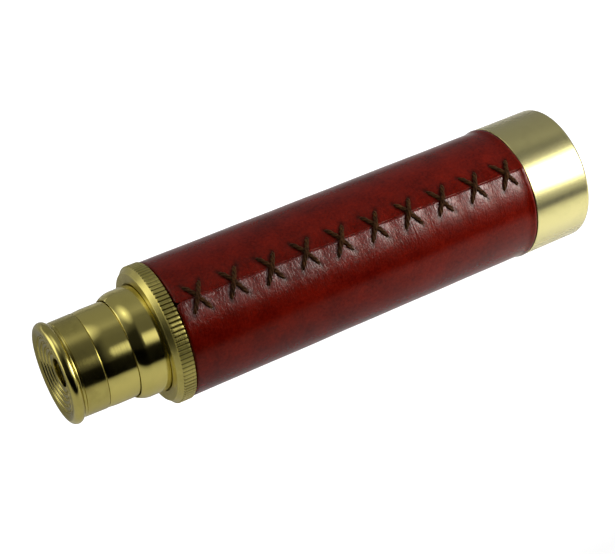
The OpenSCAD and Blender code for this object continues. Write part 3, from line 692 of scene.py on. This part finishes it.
def seamStitches():
    bm = bmesh.new()
    for middle in stitchStations:
        for slant, over in ((1, 0), (-1, 1)):
            shift = [draws.uniform(-1, 1) * strand["jitter"] for _ in range(3)]
            frames = strandFrames(middle, slant, over, shift)
            for ply in range(strand["plies"]):
                layPly(bm, frames, 2 * math.pi * ply / strand["plies"])
    bmesh.ops.remove_doubles(bm, verts=bm.verts[:], dist=1e-7)
    bmesh.ops.holes_fill(bm, edges=[edge for edge in bm.edges if edge.is_boundary], sides=0)
    bmesh.ops.recalc_face_normals(bm, faces=bm.faces[:])
    return bm


finishPiece("seam_threads", seamStitches(), "barrel", threadFinish, ["seam_stitches"], 60)
print("seam stitched")


# Inner pieces: the glass chips get ground edges, the others keep their own shape

chipEdge = 0.25


def softenedCopy(name, node, body, finish):
    bm = bmesh.new()
    bm.from_mesh(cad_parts[node].data)
    bmesh.ops.remove_doubles(bm, verts=bm.verts[:], dist=1e-6)
    bmesh.ops.dissolve_limit(bm, angle_limit=math.radians(2), verts=bm.verts[:], edges=bm.edges[:])
    edges = [edge for edge in bm.edges if edge.calc_face_angle(0) > math.radians(20)]
    bmesh.ops.bevel(bm, geom=edges, offset=chipEdge * mm, offset_type="OFFSET", affect="EDGES", segments=2,
                    profile=0.5, material=-1, clamp_overlap=True)
    bmesh.ops.recalc_face_normals(bm, faces=bm.faces[:])
    finishPiece(name, bm, body, finish, [node])


for colourName, finish in (("red", redGlass), ("amber", amberGlass), ("green", greenGlass), ("blue", blueGlass)):
    softenedCopy(f"{colourName}_chips", f"chips_{colourName}", "object_cell", finish)

nodeFinishes = {
    "barrel_tube": tubeBrass, "ring_felt": woolFelt, "cell_bush": satinBrass, "snap_ring": springSteel,
    "draw_1_felt": woolFelt, "draw_2_felt": woolFelt, "eye_lens": clearGlass, "lens_ring": satinBrass,
    "mirror_top": silveredMirror, "mirror_left": silveredMirror, "mirror_right": silveredMirror,
    "mirror_wrap": blackCard, "mirror_front_seat": agglomeratedCork, "mirror_rear_seat": agglomeratedCork,
    "cell_lock_ring": satinBrass, "inner_glass": clearGlass, "chamber_ring": satinBrass,
}
for node, finish in nodeFinishes.items():
    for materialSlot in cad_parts[node].material_slots:
        materialSlot.material = finish
print("inner pieces finished")


# Studio: pale floor, softboxes at the object end, in front and overhead, and a dim room; sizes in metres

studio = {
    "floorSize": 16.0, "floorColour": "#F4F3F1", "floorGlow": 0.95,
    "sheetFront": 0.3, "sheetFade": 0.9, "sheetLevel": 0.85,  # painted shade: to reflections the pale sheet fades to black in front of the object
    "poolFrom": 0.02, "poolTo": 0.1, "poolFoot": 0.016, "poolEdge": 0.042,  # painted pool of light by the object end, seen in reflections
    "poolLevel": 1.6, "poolShare": (0.13, 0.65),
    "backFrom": -0.12, "backTo": -0.5, "backShare": 0.9,  # painted light: a lit sweep behind the eye end, seen in reflections
}
keyBox = {
    "aim": (cadHigh.x, -0.015, sightHeight + 0.015),
    "toward": (0.6, -0.556, 0.576), "distance": 0.33, "size": (0.52, 0.52),
    "cloth": [(0.0, 11.0), (0.2, 9.8), (0.32, 6.8), (0.46, 2.7), (0.58, 0.7), (0.7, 0.26), (0.85, 0.15), (1.0, 0.0)],
}
fillBox = {
    "aim": (cadLow.x + 0.028, 0, sightHeight),
    "toward": (0.162, -0.309, 0.306), "distance": 0.464, "size": (0.2, 0.27),
    "cloth": [(0.0, 1.05), (0.3, 1.0), (0.5, 0.85), (0.68, 0.6), (0.82, 0.3), (0.93, 0.09), (1.0, 0.0)],
}
topBox = {
    "aim": (cadLow.x + 0.017, 0, sightHeight + 0.013),
    "toward": (-0.2, 0.37, 0.9), "distance": 0.9, "size": (0.8, 1.1),
    "cloth": [(0.0, 1.5), (0.1, 1.3), (0.2, 0.85), (0.35, 0.65), (0.6, 0.33), (0.85, 0.1), (1.0, 0.0)],
}


# The sheet is plain to the camera; what it sends to reflections and bounced light is painted light and shade: a glowing
# pool by the object end, a glowing sweep behind the eye end and black in front
def paleFloor():
    material = bpy.data.materials.new("paleFloor")
    material.use_nodes = True
    tree = material.node_tree
    tree.nodes.clear()
    path = addNode(tree, "LightPath")
    spot = addNode(tree, "SeparateXYZ", {0: addNode(tree, "TexCoord").outputs["Object"]})
    sheetBack = studio["sheetFront"] * (1 - studio["sheetFade"])
    sheet = addNode(tree, "MapRange", {"Value": spot.outputs["Y"], "From Min": -studio["sheetFront"],
                                       "From Max": -sheetBack, "To Max": studio["sheetLevel"]},
                    interpolation_type="SMOOTHSTEP").outputs[0]
    lit = addNode(tree, "Math", {0: sheet, 1: path.outputs["Is Camera Ray"]}, operation="MAXIMUM").outputs[0]
    colour = addNode(tree, "Mix", {"Factor": lit, 6: (0, 0, 0, 1), 7: shade(studio["floorColour"])},
                     data_type="RGBA").outputs[2]
    matt = addNode(tree, "BsdfDiffuse", {"Color": colour}).outputs[0]
    # painted light: the sheet glows for reflections, brightest in the pool by the object end and in the sweep behind
    # the eye end
    bright = addNode(tree, "Math", {0: sheet, 1: studio["poolLevel"]}, operation="MULTIPLY").outputs[0]
    level = addNode(tree, "Math", {0: bright, 1: path.outputs["Is Camera Ray"]}, operation="MAXIMUM").outputs[0]
    glow = addNode(tree, "Emission", {"Color": (1, 1, 1, 1), "Strength": level}).outputs[0]
    bounced = addNode(tree, "Math", {0: path.outputs["Is Glossy Ray"], 1: path.outputs["Is Transmission Ray"]},
                      operation="MAXIMUM").outputs[0]
    right = addNode(tree, "MapRange", {"Value": spot.outputs["X"], "From Min": studio["poolFrom"],
                                       "From Max": studio["poolTo"]}, interpolation_type="SMOOTHSTEP").outputs[0]
    clear = addNode(tree, "MapRange", {"Value": spot.outputs["Y"], "From Min": -studio["poolEdge"],
                                       "From Max": -studio["poolFoot"], "To Min": 1.0, "To Max": 0.0},
                    interpolation_type="SMOOTHSTEP").outputs[0]
    both = addNode(tree, "Math", {0: right, 1: clear}, operation="MULTIPLY").outputs[0]
    least, most = studio["poolShare"]
    pool = addNode(tree, "MapRange", {"Value": both, "To Min": least, "To Max": most}).outputs[0]
    front = addNode(tree, "Math", {0: spot.outputs["Y"], 1: 0.0}, operation="LESS_THAN").outputs[0]
    back = addNode(tree, "MapRange", {"Value": spot.outputs["X"], "From Min": studio["backTo"],
                                      "From Max": studio["backFrom"], "To Min": studio["backShare"], "To Max": 0.0},
                   interpolation_type="SMOOTHSTEP").outputs[0]
    seen = addNode(tree, "Mix", {"Factor": front, "A": back, "B": pool}, data_type="FLOAT").outputs[0]
    pooled = addNode(tree, "Math", {0: bounced, 1: seen}, operation="MULTIPLY").outputs[0]
    share = addNode(tree, "Math", {0: path.outputs["Is Camera Ray"], 1: studio["floorGlow"], 2: pooled},
                    operation="MULTIPLY_ADD").outputs[0]
    mixed = addNode(tree, "MixShader", {0: share, 1: matt, 2: glow}).outputs[0]
    addNode(tree, "OutputMaterial", {"Surface": mixed})
    return material


bm = bmesh.new()
bmesh.ops.create_grid(bm, x_segments=1, y_segments=1, size=studio["floorSize"] / 2)
floorMesh = bpy.data.meshes.new("floor")
bm.to_mesh(floorMesh)
bm.free()
floorMesh.materials.append(paleFloor())
floor = bpy.data.objects.new("floor", floorMesh)
bpy.context.scene.collection.objects.link(floor)


def fade(tree, value, levels):  # grey ramp over (place, level) stops
    ramp = addNode(tree, "ValToRGB", {0: value})
    stops = ramp.color_ramp.elements
    while len(stops) < len(levels):
        stops.new(0.5)
    for stop, (place, level) in zip(stops, levels):
        stop.position = place
        stop.color = (level, level, level, 1)
    return ramp.outputs[0]


# Round softbox whose cloth fades from the middle to the edge, given as (share of the radius, radiance)
def softbox(name, box):
    data = bpy.data.lights.new(name, "AREA")
    data.shape = "ELLIPSE"
    data.size, data.size_y = box["size"]
    peak = box["cloth"][0][1]
    data.energy = peak * math.pi * math.pi / 4 * data.size * data.size_y
    data.use_nodes = True
    tree = data.node_tree
    tree.nodes.clear()
    flat = addNode(tree, "NewGeometry").outputs["Parametric"]
    fromMiddle = addNode(tree, "VectorMath", {0: flat, 1: (0.5, 0.5, 0)}, operation="DISTANCE").outputs["Value"]
    share = addNode(tree, "Math", {0: fromMiddle, 1: 2.0}, operation="MULTIPLY").outputs[0]
    level = fade(tree, share, [(place, radiance / peak) for place, radiance in box["cloth"]])
    addNode(tree, "OutputLight", {"Surface": addNode(tree, "Emission", {"Strength": level}).outputs[0]})
    toward = Vector(box["toward"]).normalized()
    light = bpy.data.objects.new(name, data)
    light.location = Vector(box["aim"]) + toward * box["distance"]
    light.rotation_mode = "QUATERNION"
    light.rotation_quaternion = (-toward).to_track_quat("-Z", "Y")
    bpy.context.scene.collection.objects.link(light)


softbox("keySoftbox", keyBox)
softbox("fillSoftbox", fillBox)
softbox("topSoftbox", topBox)


# Room: "lean" is how far a direction leans from the zenith toward the front, in degrees; "side" is its share of +X

room = [  # brightness by lean
    (-90, 0.24), (-40, 0.27), (-20, 0.34), (-4, 0.16), (12, 0.13), (46, 0.11), (58, 0.06), (64, 0.006), (90, 0.003),
]
frontWall = {"side": (0.4, 0.56), "lean": (40, 70), "level": 0.32}      # pale wall to the right of the front
backSweep = {"side": (-0.76, -0.48), "lean": (-42, -22), "level": 1.8}  # lit sweep to the left of the back
curtain = {"side": (-0.05, 0.2), "lean": (0, 25), "level": 0.15}        # dark curtain to the left of the front


def sideShare(tree, side, patch, first, last):
    low, high = patch["side"]
    return addNode(tree, "MapRange", {"Value": side, "From Min": low, "From Max": high, "To Min": first,
                                      "To Max": last}, interpolation_type="SMOOTHSTEP").outputs[0]


def leanShare(tree, lean, patch, first, last):
    low, high = (math.radians(degrees) for degrees in patch["lean"])
    return addNode(tree, "MapRange", {"Value": lean, "From Min": low, "From Max": high, "To Min": first,
                                      "To Max": last}).outputs[0]


def studioRoom():
    world = bpy.data.worlds.new("studioRoom")
    world.use_nodes = True
    tree = world.node_tree
    tree.nodes.clear()
    direction = addNode(tree, "SeparateXYZ", {0: addNode(tree, "TexCoord").outputs["Generated"]})
    side = direction.outputs["X"]
    forward = addNode(tree, "Math", {0: direction.outputs["Y"], 1: -1.0}, operation="MULTIPLY").outputs[0]
    lean = addNode(tree, "Math", {0: forward, 1: direction.outputs["Z"]}, operation="ARCTAN2").outputs[0]
    place = addNode(tree, "MapRange", {"Value": lean, "From Min": -math.pi / 2, "From Max": math.pi / 2}).outputs[0]
    dim = fade(tree, place, [((degrees + 90) / 180, level) for degrees, level in room])
    toRight = sideShare(tree, side, frontWall, 0.0, frontWall["level"])
    toFront = leanShare(tree, lean, frontWall, 0.0, 1.0)
    wall = addNode(tree, "Math", {0: toRight, 1: toFront}, operation="MULTIPLY").outputs[0]
    toLeft = sideShare(tree, side, backSweep, backSweep["level"], 0.0)
    toBack = leanShare(tree, lean, backSweep, 1.0, 0.0)
    lit = addNode(tree, "Math", {0: toLeft, 1: toBack, 2: wall}, operation="MULTIPLY_ADD").outputs[0]
    glow = addNode(tree, "VectorMath", {0: dim, 1: lit}, operation="ADD").outputs[0]
    shaded = sideShare(tree, side, curtain, curtain["level"], 1.0)
    behind = leanShare(tree, lean, curtain, 1.0, 0.0)
    strength = addNode(tree, "Math", {0: shaded, 1: behind}, operation="MAXIMUM").outputs[0]
    background = addNode(tree, "Background", {"Color": glow, "Strength": strength})
    addNode(tree, "OutputWorld", {"Surface": background.outputs[0]})
    return world


bpy.context.scene.world = studioRoom()

camera = {
    "place": (-0.1859, -0.3061, 0.3619), "forward": (0.36899, 0.61990, -0.69251), "lens": 90.77, "sensor": 36,
}
cameraData = bpy.data.cameras.new("camera")
cameraData.sensor_fit = "HORIZONTAL"
cameraData.sensor_width = camera["sensor"]
cameraData.lens = camera["lens"]
cameraData.clip_start = 0.01
cameraObject = bpy.data.objects.new("camera", cameraData)
cameraObject.location = camera["place"]
cameraObject.rotation_mode = "QUATERNION"
cameraObject.rotation_quaternion = Vector(camera["forward"]).to_track_quat("-Z", "Y")
bpy.context.scene.collection.objects.link(cameraObject)
bpy.context.scene.camera = cameraObject
bpy.context.scene.view_settings.view_transform = "Standard"
print("studio lit")
